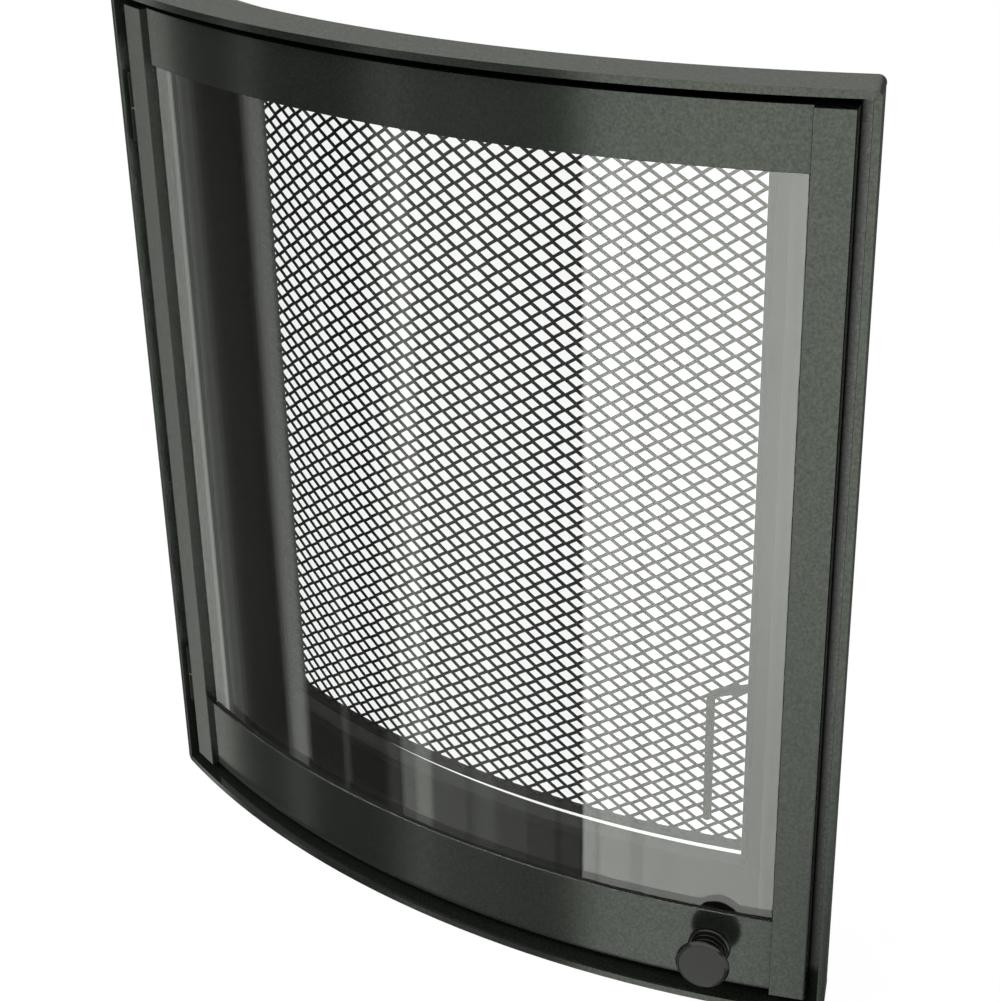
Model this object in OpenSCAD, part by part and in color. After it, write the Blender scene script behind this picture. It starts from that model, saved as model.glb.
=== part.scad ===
// Bowed glass door for a wood stove or fireplace: a curved surround, a hinged
// glazed leaf with a turn latch, and a lift-out spark screen behind the glass.
// +Z is up and the room side faces -Y. The origin is the middle of the four
// bolt holes: Y = 0 is the rear mounting plane, Z = 0 is half the height.

/* [Bow] */
// Radius of the outer face of the curved rails, seen from above
bow_r = 775; // [700:5:900]
// Distance from the mounting plane to the front of the bow
crown = 125; // [122:1:130]

/* [Surround] */
// Width of the surround across its front corners
sur_w = 596; // [590:1:602]
// Height of the surround
sur_h = 649; // [600:1:700]
// Thickness of the surround plate
sur_t = 5; // [4:0.5:6]
// Depth of the surround, front edge to back edge
sur_depth = 38.5; // [34:0.5:45]
// How far the front edge stands ahead of the rails
sur_proud = 10; // [8:0.5:12]
// Gap between the leaf and the surround above and below
leaf_gap = 7; // [6:0.5:9]
// Gap between the leaf and the surround at each side
side_gap = 8; // [8:0.5:10]

/* [Leaf] */
// Thickness of the rail sheet
rail_t = 2; // [1.5:0.5:3]
// Height of the top rail
rail_top_h = 40; // [36:1:50]
// Height of the bottom rail
rail_bot_h = 58; // [56:1:70]
// Width of each stile
stile_w = 25; // [23:0.5:28]
// How far the stiles stand ahead of the rails
stile_proud = 6; // [5:0.5:7]

/* [Glass] */
// Thickness of the glass
glass_t = 4; // [3:0.5:5]
// Thickness of the tape between the rails and the glass
tape_t = 0.5; // [0.3:0.1:1]
// How far the glass reaches behind each rail
glass_lap = 14; // [10:1:16]
// Diameter of the rope seal
rope_d = 8; // [6:1:8]

/* [Hinges] */
// Height of one complete hinge
hinge_h = 50; // [40:2:60]
// Distance from the ends of the leaf to the middle of each hinge
hinge_inset = 75; // [60:5:100]
// Outside diameter of a hinge barrel
barrel_d = 7; // [6:0.5:7]
// Diameter of a hinge pin
pin_d = 4; // [3:0.5:4.5]

/* [Latch] */
// Distance round the bow from the right stile to the middle of the knob
knob_inset = 43.5; // [40:0.5:60]
// Height of the knob above the bottom of the leaf
knob_z = 28.5; // [28:0.5:32]
// Diameter of the knob head
knob_d = 38; // [32:0.5:40]
// Distance from the rail to the face of the knob
knob_reach = 23.5; // [22:0.5:32]
// Diameter of the latch shaft
shaft_d = 8; // [7:0.5:8]

/* [Screen] */
// Width of the mesh between its side bars
screen_w = 417.5; // [400:0.5:420]
// Depth of the mesh behind the face of the rails
mesh_off = 60; // [58:1:62]
// Thickness of the mesh
mesh_t = 1.6; // [1:0.2:2]
// Width of one opening of the lattice, middle to middle
cell_w = 50.1; // [40:0.1:60]
// Height of one opening of the lattice, middle to middle
cell_h = 33.3; // [28:0.1:40]
// Width of the strands of the lattice
strand = 6; // [4:0.5:8]
// Diameter of the bent handle rod
handle_d = 6; // [5:0.5:7]
// Length of the upright part of the handle
handle_l = 101.5; // [80:0.5:120]
// How far the screen lifts before it comes off its pegs
lift = 12; // [11:0.5:14]

/* [Mounting] */
// Distance between the left and right bolt holes
bolt_dx = 508; // [500:1:520]
// Distance between the lower and upper bolt holes
bolt_dz = 425; // [300:5:480]
// Diameter of the bolt holes
bolt_d = 6.6; // [5:0.1:7]

/* [Hidden] */
$fn = 96;
eps = 0.05;                 // radial clearance of a running fit
touch = 0.02;               // how far a flat piece stops short of a curved one
over = 1;                   // how far a cutting tool overruns the face it cuts

steel = [0.33, 0.35, 0.33];
dark = [0.10, 0.10, 0.10];
zinc = [0.62, 0.62, 0.60];
bronze = [0.70, 0.50, 0.25];

// Angles and depths are taken round the bow, depths inwards from the rail face.
// Heights are taken from the bottom of the leaf.
bow_y = bow_r - crown;      // middle of the bow
leaf_h = sur_h - 2 * (sur_t + leaf_gap);
leaf_z = -leaf_h / 2;
sur_half = asin(sur_w / 2 / (bow_r + sur_proud));
rail_half = sur_half - atan((sur_t + side_gap + stile_w) / bow_r);
gap_low = -leaf_gap;        // inner faces of the surround
gap_high = leaf_h + leaf_gap;

glass_play = 0.5;           // room behind the glass
edge_play = 0.5;            // room between the edge of the glass and a backing plate
tape_show = 0.5;            // how far the lower tape shows above its rail
backing_inset = 1;          // from the end of the leaf to a backing plate
glass_off = rail_t + tape_t;
leaf_back = glass_off + glass_t + glass_play;
glass_edge = 0.1;           // angle between the edge of the glass and the stile
glass_low = rail_bot_h - glass_lap;
glass_high = leaf_h - rail_top_h + glass_lap;
retainer_t = 2;
retainer_inset = 4;         // how far a retainer stays hidden behind its rail
retainer_under = 7.5;       // how far it reaches past the glass below, above, inwards, outwards
retainer_over = 10;
retainer_in = 12;
retainer_out = 8;
screw_r = 2;
screw_under = 4.5;          // from the edge of the glass to the screws below and above it
screw_over = 5;
lower_screw_z = glass_low - screw_under;
upper_screw_z = glass_high + screw_over;
lower_screw_angles = [-17, -9, 0, 9];
upper_screw_angles = [-17, -9, 0, 9, 17];
side_screw_x = 4;
side_screw_low = 110;       // from the ends of the leaf to the outermost side screws
side_screw_high = 95;
side_screw_n = 4;
side_screw_zs = [for (i = [0:side_screw_n - 1])
    side_screw_low + i * (leaf_h - side_screw_low - side_screw_high) / (side_screw_n - 1)];

rope_off = leaf_back + eps + rope_d / 2;
rope_x = 14.5;              // middle of a side rope, from the inner edge of the stile
rope_end_gap = 0.1;         // room between a side rope and the ends of the curved ones
rope_half = rail_half + atan((rope_x - rope_d / 2 - rope_end_gap) / (bow_r - rope_off));
rope_play = 0.4;            // room between the rope and its land
land_off = leaf_back + rope_d + rope_play;
land_t = 3;
land_inner = 12;            // how far the seal land reaches past the end of the leaf
rope_inset = 5;             // from the edge of a land to the middle of the rope on it
rope_low = land_inner - rope_inset;
rope_high = leaf_h - rope_low;

throat_off = land_off + land_t;
throat_t = 2.5;
throat_x = 6.7;             // inner face of the throat, from the inner edge of the stile
throat_half = rail_half + atan(throat_x / bow_r);
throat_low = 7;
throat_top_inset = 3;
throat_high = leaf_h - throat_top_inset;
land_half = sur_half - asin(sur_t / (bow_r - throat_off));

side_bar_d = 15;            // screen bars: depth and thickness
side_bar_t = 2.5;
screen_bar_d = 10;
screen_bar_t = 2;
side_lead = 5;              // how far the bars stand ahead of the mesh
side_off = mesh_off - side_lead;
screen_half = asin(screen_w / 2 / (bow_r - mesh_off));

fascia_gap = 6;             // from the middle of the mesh to the fascia
fascia_off = mesh_off + fascia_gap;
fascia_t = 4;
fascia_back = fascia_off + fascia_t;
side_play = 0.5;            // room between a side bar and the edge of the fascia
open_half = screen_half + atan((side_bar_t + side_play) / (bow_r - fascia_off));
open_below = 2;             // how far the fascia opens past the sight line, below and above
open_above = 5;
open_low = rail_bot_h - open_below;
open_high = leaf_h - rail_top_h + open_above;
sill_t = 3;
foot_gap = 0.3;             // room between the feet of the screen and the sill
foot_l = 13.5;              // how far the feet reach below the bottom bar
lift_play = 1;              // room above the screen when it is lifted
screen_foot = open_low + sill_t + foot_gap;
screen_low = screen_foot + foot_l;
screen_high = open_high - lift - lift_play;

peg_r = 2.8;
peg_head_r = 4.5;
peg_head_t = 2;
peg_angle = 10;
peg_rise = 11;              // from the top of the lifted screen to the pegs
peg_z = screen_high + lift + peg_rise;

hinge_out = 3.1;            // hinge axis, from the outer edge and the front of the stile
hinge_in = 3.2;
hinge_x = stile_w + hinge_out;
hinge_off = hinge_in - stile_proud;
hinge_gap = 1.2;            // room for the washer between the two barrels
hinge_zs = [hinge_inset, leaf_h - hinge_inset];
barrel_h = (hinge_h - hinge_gap) / 2;

knob_angle = rail_half - knob_inset / bow_r * 180 / PI;
bush_r = 6;
bush_flange_r = 7;
bush_flange_t = 1.5;
bush_end = leaf_back + bush_flange_t;
rose_t = 3;
rose_r = 15;
rose_bevel = 1;
head_t = 7;
seat = 4;                   // how far the shaft goes into the knob head
cam_t = 4;
cam_w = 14;
cam_l = knob_z - land_inner;
cam_gap = 0.6;              // room between the cam and the keeper
cam_off = throat_off + cam_gap;
nut_t = 6;
nut_r = 7.5;                // over its corners
tail_l = 3;                 // how far the shaft stands out of the nut
latch_gap = 0.4;            // running gap beside the bush and the rose

// ---- helpers: everything is placed round the bow from the face of the rails ----

// Local frame on the bow: X across, Y inwards, Z up from the bottom of the leaf
module at_bow(angle, off = 0, z = 0) {
    translate([0, bow_y, leaf_z + z])
        rotate([0, 0, angle])
            translate([0, off - bow_r, 0])
                children();
}

// Curved band between two depths, two angles and two heights above the leaf bottom
module band(off1, off2, a1, a2, z1, z2) {
    translate([0, bow_y, leaf_z + z1])
        rotate([0, 0, a1 - 90])
            rotate_extrude(angle = a2 - a1)
                translate([bow_r - off2, 0])
                    square([off2 - off1, z2 - z1]);
}

// Box in the local frame, from x1 to x2, depth y1 to y2 and height z1 to z2
module bow_box(angle, x1, x2, y1, y2, z1, z2) {
    at_bow(angle, y1, z1)
        translate([x1, 0, 0])
            cube([x2 - x1, y2 - y1, z2 - z1]);
}

// Round bar that points into the bow, from depth y1 to depth y2
module bow_rod(angle, z, r, y1, y2) {
    at_bow(angle, y1, z)
        rotate([-90, 0, 0])
            cylinder(h = y2 - y1, r = r);
}

// ---- surround ----

// Curved plate whose ends are rounded over the corners; side is 1 for top, -1 for bottom
module surround_band(side) {
    z_in = side > 0 ? gap_high : gap_low;
    z1 = min(z_in, z_in + side * sur_t);
    nose = asin(sur_t / (bow_r + sur_proud));
    color(steel) {
        band(-sur_proud, sur_depth - sur_proud, nose - sur_half, sur_half - nose, z1, z1 + sur_t);
        for (end = [-1, 1])
            intersection() {
                bow_rod(end * (sur_half - nose), z_in, sur_t, -sur_proud, sur_depth - sur_proud);
                bow_box(end * (sur_half - nose), min(-end, end * sur_t), max(-end, end * sur_t),
                        -sur_proud, sur_depth - sur_proud, z1, z1 + sur_t);
            }
    }
}

module surround_side(side) {
    x_in = -side * sur_t;
    color(steel)
        bow_box(side * sur_half, min(0, x_in), max(0, x_in), -sur_proud,
                sur_depth - sur_proud, gap_low, gap_high);
}

module surround_top() { surround_band(1); }
module surround_bottom() { surround_band(-1); }
module surround_left() { surround_side(-1); }
module surround_right() { surround_side(1); }

// ---- seal land, throat and fascia behind the leaf ----

module land(a1, a2, z1, z2) {
    color(steel) band(land_off, throat_off, a1, a2, z1, z2);
}

module seal_land_top() { land(-land_half, land_half, leaf_h - land_inner, gap_high); }
module seal_land_bottom() { land(-land_half, land_half, gap_low, land_inner); }
module seal_land_left() { land(-land_half, -throat_half, land_inner, leaf_h - land_inner); }
module seal_land_right() { land(throat_half, land_half, land_inner, leaf_h - land_inner); }

module throat_top() {
    color(steel)
        band(throat_off, fascia_off, -throat_half, throat_half,
             throat_high - throat_t, throat_high);
}

module throat_bottom() {
    color(steel)
        band(throat_off, fascia_off, -throat_half, throat_half,
             throat_low, throat_low + throat_t);
}

module throat_side(side) {
    x_out = side * throat_t;
    color(steel)
        bow_box(side * throat_half, min(0, x_out), max(0, x_out), throat_off + touch,
                fascia_back, throat_low, throat_high);
}

module throat_left() { throat_side(-1); }
module throat_right() { throat_side(1); }

module fascia(a1, a2, z1, z2) {
    color(dark) band(fascia_off, fascia_back, a1, a2, z1, z2);
}

module fascia_top() { fascia(-throat_half, throat_half, open_high, throat_high); }
module fascia_bottom() { fascia(-throat_half, throat_half, throat_low, open_low); }
module fascia_left() { fascia(-throat_half, -open_half, open_low, open_high); }
module fascia_right() { fascia(open_half, throat_half, open_low, open_high); }

// Shelf that the feet of the screen stand over, with a low lip in front
module screen_sill() {
    shelf_lead = 3;
    shelf_off = side_off - shelf_lead;
    lip_t = 1.5;
    lip_h = 3;
    color(dark)
        difference() {
            band(shelf_off, fascia_back, -open_half, open_half, open_low,
                 open_low + sill_t + lip_h);
            band(shelf_off + lip_t, fascia_back + over, -sur_half, sur_half,
                 open_low + sill_t, open_low + sill_t + lip_h + over);
        }
}

// Headed pegs on the fascia that carry the hangers of the screen
module screen_pegs() {
    head_gap = 2.5;         // from the middle of the mesh to the back of a head
    head_off = mesh_off - head_gap;
    for (side = [-1, 1])
        color(zinc) {
            bow_rod(side * peg_angle, peg_z, peg_r, head_off, fascia_off);
            bow_rod(side * peg_angle, peg_z, peg_head_r, head_off - peg_head_t, head_off);
        }
}

// Angle with a flat rear flange, bolted to the stove body from behind
leg_t = 3;
leg_inset = 30;             // from the ends of the leaf to the ends of the flange
leg_lap = 22;               // how far the leg reaches forward along the throat
flange_lap = 1;             // how far the flange reaches under the leg
bolt_edge = 10;             // from a bolt hole to the edge of the flange
leg_mid = throat_t + leg_t / 2;
leg_x = (bow_y + leg_t + leg_mid * sin(throat_half)) * tan(throat_half)
    + leg_mid * cos(throat_half);

module mount_flange(side) {
    leg_start = fascia_off - leg_lap;
    flange_x1 = min(leg_x - flange_lap, bolt_dx / 2 - bolt_edge);
    flange_x2 = max(leg_x + flange_lap, bolt_dx / 2 + bolt_edge);
    z1 = leg_inset;
    z2 = leaf_h - leg_inset;
    x_near = side * throat_t;
    x_far = side * (throat_t + leg_t);
    color(steel)
        difference() {
            union() {
                difference() {
                    bow_box(side * throat_half, min(x_near, x_far), max(x_near, x_far),
                            leg_start, leg_start + crown, z1, z2);
                    translate([-sur_w, -leg_t, -sur_h])
                        cube([2 * sur_w, crown, 2 * sur_h]);
                }
                translate([side > 0 ? flange_x1 : -flange_x2, -leg_t, leaf_z + z1])
                    cube([flange_x2 - flange_x1, leg_t, z2 - z1]);
            }
            for (z = [-bolt_dz / 2, bolt_dz / 2])
                translate([side * bolt_dx / 2, over, z])
                    rotate([90, 0, 0])
                        cylinder(h = leg_t + 2 * over, r = bolt_d / 2);
        }
}

module mount_flange_left() { mount_flange(-1); }
module mount_flange_right() { mount_flange(1); }

// Strike that stands up from the bottom seal land for the cam to turn behind
module latch_keeper() {
    keeper_h = 8;
    keeper_half = 0.9;
    color(zinc)
        band(land_off, throat_off, knob_angle - keeper_half, knob_angle + keeper_half,
             land_inner, land_inner + keeper_h);
}

// ---- hinges: the lower barrel is on the surround, the upper one on the leaf ----

module at_hinge(z) {
    at_bow(-rail_half, hinge_off, z) translate([-hinge_x, 0, 0]) children();
}

module hinge_base(z) {
    bridge_y1 = -0.8;
    bridge_y2 = barrel_d / 2;
    color(steel)
        difference() {
            union() {
                at_hinge(z - hinge_h / 2) cylinder(h = barrel_h, r = barrel_d / 2);
                intersection() {
                    at_hinge(z - hinge_h / 2)
                        translate([-2 * side_gap, bridge_y1, 0])
                            cube([2 * side_gap, bridge_y2 - bridge_y1, barrel_h]);
                    bow_box(-sur_half, sur_t, sur_t + 2 * side_gap, -sur_proud,
                            sur_depth - sur_proud, gap_low, gap_high);
                }
            }
            at_hinge(z - hinge_h / 2 - over) cylinder(h = barrel_h + 2 * over, r = pin_d / 2);
        }
}

module hinge_pin(z) {
    pin_short = 1;          // how far the pin ends below the top of the barrel
    color(zinc) at_hinge(z - hinge_h / 2) cylinder(h = hinge_h - pin_short, r = pin_d / 2);
}

module hinge_knuckle(z) {
    color(steel)
        at_hinge(z + hinge_gap / 2)
            difference() {
                cylinder(h = barrel_h, r = barrel_d / 2);
                translate([0, 0, -over])
                    cylinder(h = barrel_h + 2 * over, r = pin_d / 2 + eps);
            }
}

module hinge_base_lower() { hinge_base(hinge_zs[0]); }
module hinge_base_upper() { hinge_base(hinge_zs[1]); }
module hinge_pin_lower() { hinge_pin(hinge_zs[0]); }
module hinge_pin_upper() { hinge_pin(hinge_zs[1]); }
module hinge_knuckle_lower() { hinge_knuckle(hinge_zs[0]); }
module hinge_knuckle_upper() { hinge_knuckle(hinge_zs[1]); }

// Bronze ring between the two barrels of each hinge
module hinge_washers() {
    washer_t = 0.9;
    color(bronze)
        for (z = hinge_zs)
            at_hinge(z - hinge_gap / 2)
                difference() {
                    cylinder(h = washer_t, r = barrel_d / 2);
                    translate([0, 0, -over])
                        cylinder(h = washer_t + 2 * over, r = pin_d / 2);
                }
}

// ---- leaf ----

module rail_top() {
    color(steel) band(0, rail_t, -rail_half, rail_half, leaf_h - rail_top_h, leaf_h);
}

module rail_bottom() {
    color(steel)
        difference() {
            band(0, rail_t, -rail_half, rail_half, 0, rail_bot_h);
            bow_rod(knob_angle, knob_z, bush_r, -over, rail_t + over);
        }
}

// Flat bar with a chamfered outer front edge; side is 1 for right, -1 for left
module stile_bar(side) {
    chamfer = 1;
    w = side * stile_w;
    difference() {
        bow_box(side * rail_half, min(0, w), max(0, w), -stile_proud, leaf_back, 0, leaf_h);
        at_bow(side * rail_half, -stile_proud, -over)
            translate([w, 0, 0])
                rotate([0, 0, 45])
                    translate([-chamfer / sqrt(2), -chamfer / sqrt(2), 0])
                        cube([chamfer * sqrt(2), chamfer * sqrt(2), leaf_h + 2 * over]);
        for (z = side_screw_zs)
            at_bow(side * rail_half, rail_t, z)
                translate([side * side_screw_x, 0, 0])
                    rotate([-90, 0, 0])
                        cylinder(h = leaf_back - rail_t + over, r = screw_r);
    }
}

module stile_left() {
    relief = 0.35;
    color(steel)
        difference() {
            stile_bar(-1);
            for (z = hinge_zs) {
                at_hinge(z - hinge_h / 2 - relief)
                    cylinder(h = hinge_h / 2 + hinge_gap / 2 + relief, r = barrel_d / 2 + relief);
                at_hinge(z + hinge_gap / 2)
                    cylinder(h = barrel_h, r = barrel_d / 2);
            }
        }
}

module stile_right() { color(steel) stile_bar(1); }

// Stiffening plates behind the rails; the glass stands between them
module backing_top() {
    color(steel)
        difference() {
            band(rail_t, leaf_back, -rail_half, rail_half, glass_high + edge_play,
                 leaf_h - backing_inset);
            for (a = upper_screw_angles)
                bow_rod(a, upper_screw_z, screw_r, rail_t - over, leaf_back + over);
        }
}

module backing_bottom() {
    color(steel)
        difference() {
            band(rail_t, leaf_back, -rail_half, rail_half, backing_inset,
                 glass_low - edge_play);
            bow_rod(knob_angle, knob_z, bush_r, rail_t - over, leaf_back + over);
            for (a = lower_screw_angles)
                bow_rod(a, lower_screw_z, screw_r, rail_t - over, leaf_back + over);
        }
}

module glass() {
    color([0.75, 0.80, 0.78, 0.35])
        band(glass_off, glass_off + glass_t, glass_edge - rail_half, rail_half - glass_edge,
             glass_low, glass_high);
}

module glass_tape_top() {
    color(dark)
        band(rail_t, glass_off, glass_edge - rail_half, rail_half - glass_edge,
             leaf_h - rail_top_h, glass_high);
}

module glass_tape_bottom() {
    color(dark)
        band(rail_t, glass_off, glass_edge - rail_half, rail_half - glass_edge,
             glass_low, rail_bot_h + tape_show);
}

// Strips that clamp the edges of the glass from behind
module retainer_top() {
    color(steel)
        difference() {
            band(leaf_back, leaf_back + retainer_t, -rail_half, rail_half,
                 leaf_h - rail_top_h + retainer_inset, glass_high + retainer_over);
            for (a = upper_screw_angles)
                bow_rod(a, upper_screw_z, screw_r, leaf_back - over,
                        leaf_back + retainer_t + over);
        }
}

module retainer_bottom() {
    color(steel)
        difference() {
            band(leaf_back, leaf_back + retainer_t, -rail_half, rail_half,
                 glass_low - retainer_under, rail_bot_h - retainer_inset);
            for (a = lower_screw_angles)
                bow_rod(a, lower_screw_z, screw_r, leaf_back - over,
                        leaf_back + retainer_t + over);
        }
}

module retainer_side(side) {
    x1 = -side * retainer_in;
    x2 = side * retainer_out;
    color(steel)
        difference() {
            bow_box(side * rail_half, min(x1, x2), max(x1, x2), leaf_back,
                    leaf_back + retainer_t, rail_bot_h, leaf_h - rail_top_h);
            for (z = side_screw_zs)
                at_bow(side * rail_half, leaf_back - over, z)
                    translate([side * side_screw_x, 0, 0])
                        rotate([-90, 0, 0])
                            cylinder(h = retainer_t + 2 * over, r = screw_r);
        }
}

module retainer_left() { retainer_side(-1); }
module retainer_right() { retainer_side(1); }

// Pan-head screw pointing out of the leaf, its head on the back of a retainer
module screw() {
    shank = leaf_back - rail_t - touch;
    head_h = 1.8;
    rotate([-90, 0, 0]) {
        translate([0, 0, -shank]) cylinder(h = shank + retainer_t + touch, r = screw_r);
        translate([0, 0, retainer_t + touch]) cylinder(h = head_h, r = 1.5 * screw_r);
    }
}

module retainer_screws() {
    color(zinc) {
        for (a = upper_screw_angles) at_bow(a, leaf_back, upper_screw_z) screw();
        for (a = lower_screw_angles) at_bow(a, leaf_back, lower_screw_z) screw();
        for (side = [-1, 1])
            for (z = side_screw_zs)
                at_bow(side * rail_half, leaf_back, z)
                    translate([side * side_screw_x, 0, 0])
                        screw();
    }
}

// Rope seals round the back of the leaf
module rope_arc(z) {
    color(dark)
        translate([0, bow_y, leaf_z + z])
            rotate([0, 0, -90 - rope_half])
                rotate_extrude(angle = 2 * rope_half)
                    translate([bow_r - rope_off, 0])
                        circle(r = rope_d / 2);
}

module rope_side(side) {
    color(dark)
        at_bow(side * rail_half, rope_off, rope_low - rope_d / 2)
            translate([side * rope_x, 0, 0])
                cylinder(h = rope_high - rope_low + rope_d, r = rope_d / 2);
}

module rope_top() { rope_arc(rope_high); }
module rope_bottom() { rope_arc(rope_low); }
module rope_left() { rope_side(-1); }
module rope_right() { rope_side(1); }

// ---- turn latch ----

// Frame on the latch axis: Z points out of the door, 0 is the face of the rail
module at_latch(h) {
    at_bow(knob_angle, -h, knob_z) rotate([90, 0, 0]) children();
}

module latch_bush() {
    color(bronze)
        at_latch(-bush_end)
            difference() {
                union() {
                    cylinder(h = bush_end, r = bush_r);
                    cylinder(h = bush_end - leaf_back - 3 * touch, r = bush_flange_r);
                }
                translate([0, 0, -over])
                    cylinder(h = bush_end + 2 * over, r = shaft_d / 2 + eps);
            }
}

module knob_rose() {
    rose_play = 0.3;        // room round the shaft
    color(dark)
        at_latch(0)
            difference() {
                union() {
                    cylinder(h = rose_t - rose_bevel, r = rose_r);
                    translate([0, 0, rose_t - rose_bevel])
                        cylinder(h = rose_bevel, r1 = rose_r, r2 = rose_r - rose_bevel);
                }
                translate([0, 0, -over])
                    cylinder(h = rose_t + 2 * over, r = shaft_d / 2 + rose_play);
            }
}

// Ringed neck, turned from bar: rings step down from the rose to the head
module knob_neck() {
    h = knob_reach - head_t - rose_t - latch_gap;
    neck_r = 9;
    ring_h = 2.6;
    groove_h = 1.2;
    rings = [13.2, 12.4, 11.6];
    color(dark)
        at_latch(rose_t + latch_gap)
            difference() {
                union() {
                    cylinder(h = h, r = neck_r);
                    for (i = [0:2])
                        translate([0, 0, i * (ring_h + groove_h)])
                            cylinder(h = ring_h, r = rings[i]);
                }
                translate([0, 0, -over]) cylinder(h = h + 2 * over, r = shaft_d / 2);
            }
}

module knob_head() {
    r = knob_d / 2;
    root_r = 9.5;           // where the cone behind the rim meets the neck
    cone_h = 2.2;
    rim_low = 3.4;
    round_r = 0.8;          // the two small flats that round the back of the rim
    bevel = 1.8;
    lip = 0.4;
    color(dark)
        at_latch(knob_reach - head_t)
            difference() {
                rotate_extrude()
                    polygon([[0, 0], [root_r, 0], [r - round_r, cone_h], [r, rim_low],
                             [r, head_t - bevel], [r - bevel, head_t - lip],
                             [r - bevel - 1, head_t], [0, head_t]]);
                translate([0, 0, -over]) cylinder(h = seat + over, r = shaft_d / 2);
            }
}

module latch_shaft() {
    tail = cam_off + cam_t + nut_t + tail_l;
    color(zinc)
        at_latch(-tail)
            cylinder(h = tail + knob_reach - head_t + seat, r = shaft_d / 2);
}

module latch_sleeve() {
    color(zinc)
        at_latch(-cam_off)
            difference() {
                cylinder(h = cam_off - bush_end - latch_gap, r = bush_r);
                translate([0, 0, -over]) cylinder(h = cam_off, r = shaft_d / 2);
            }
}

// At rest the cam lies level, clear of the keeper; a quarter turn points it down
module latch_cam() {
    color(zinc)
        at_latch(-cam_off - cam_t)
            difference() {
                union() {
                    cylinder(h = cam_t, r = cam_w / 2);
                    translate([cam_w / 2 - cam_l, -cam_w / 2, 0])
                        cube([cam_l - cam_w / 2, cam_w, cam_t]);
                    translate([cam_w / 2 - cam_l, 0, 0]) cylinder(h = cam_t, r = cam_w / 2);
                }
                translate([0, 0, -over]) cylinder(h = cam_t + 2 * over, r = shaft_d / 2);
            }
}

module latch_nut() {
    color(zinc)
        at_latch(-cam_off - cam_t - nut_t)
            difference() {
                cylinder(h = nut_t, r = nut_r, $fn = 6);
                translate([0, 0, -over]) cylinder(h = nut_t + 2 * over, r = shaft_d / 2);
            }
}

// ---- spark screen ----

module screen_bar(z) {
    color(dark)
        band(side_off, side_off + screen_bar_d, -screen_half, screen_half, z, z + screen_bar_t);
}

module screen_bar_top() { screen_bar(screen_high - screen_bar_t); }
module screen_bar_bottom() { screen_bar(screen_low); }

module screen_sides() {
    color(dark)
        for (side = [-1, 1])
            bow_box(side * screen_half, side > 0 ? 0 : -side_bar_t, side > 0 ? side_bar_t : 0,
                    side_off, side_off + side_bar_d, screen_foot, screen_high);
}

// Curved lattice: diamond openings in staggered rows, cut through a thin sheet
module screen_mesh() {
    z1 = screen_low + screen_bar_t;
    z2 = screen_high - screen_bar_t;
    r = bow_r - mesh_off;
    cell_angle = cell_w / r * 180 / PI;
    half_cols = floor(2 * (screen_half / cell_angle - 0.5));
    half_rows = floor(2 * ((z2 - z1) / 2 / cell_h - 0.5));
    hole_h = cell_h / 2 - strand * cell_h / cell_w;
    color(dark)
        difference() {
            band(mesh_off - mesh_t / 2, mesh_off + mesh_t / 2, -screen_half, screen_half, z1, z2);
            translate([0, bow_y, leaf_z + (z1 + z2) / 2])
                rotate([90, 0, 0])
                    linear_extrude(height = bow_y + crown)
                        for (i = [-half_cols:half_cols])
                            for (j = [-half_rows:half_rows])
                                if ((i + j) % 2 == 0)
                                    translate([r * sin(i * cell_angle / 2), j * cell_h / 2])
                                        lattice_hole((cell_w / 2 - strand)
                                                     * cos(i * cell_angle / 2), hole_h);
        }
}

module lattice_hole(w, h) {
    polygon([[-w, 0], [0, -h], [w, 0], [0, h]]);
}

// Bent rod handle: it leaves the right side bar, turns down and ends square
module screen_handle() {
    r = handle_d / 2;
    z_top = 207;
    grip_x = 22.5;          // sideways distance from the side bar to the grip
    grip_y = 14;            // how far the grip stands ahead of its root
    root_gap = 0.4;         // from the front of the side bar to the middle of the rod
    root_off = side_off + root_gap;
    run = norm([grip_x, grip_y]);
    color(dark)
        intersection() {
            at_bow(screen_half, root_off, z_top) {
                translate([-grip_x, -grip_y, 0])
                    rotate([0, 0, atan2(grip_y, grip_x)]) {
                        rotate([0, 90, 0]) cylinder(h = run + handle_d, r = r);
                        sphere(r = r);
                    }
                translate([-grip_x, -grip_y, -handle_l]) cylinder(h = handle_l, r = r);
            }
            bow_box(screen_half, -2 * grip_x, 0, root_off - 2 * grip_y, root_off + grip_y,
                    0, leaf_h);
        }
}

// Keyhole plates on the top bar that hang on the pegs
module screen_hangers() {
    w = 18;
    plate_t = 2;
    plate_over = 6.5;       // how far the plate reaches above the peg
    slot_play = 0.3;
    hole_play = 0.5;
    plate_top = peg_z + plate_over;
    slot_r = peg_r + slot_play;
    hole_r = peg_head_r + hole_play;
    color(dark)
        for (side = [-1, 1])
            difference() {
                bow_box(side * peg_angle, -w / 2, w / 2, mesh_off, mesh_off + plate_t,
                        screen_high, plate_top);
                bow_box(side * peg_angle, -slot_r, slot_r, mesh_off - over,
                        mesh_off + plate_t + over, peg_z - lift, peg_z + slot_r);
                bow_rod(side * peg_angle, peg_z - lift, hole_r, mesh_off - over,
                        mesh_off + plate_t + over);
            }
}

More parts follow.
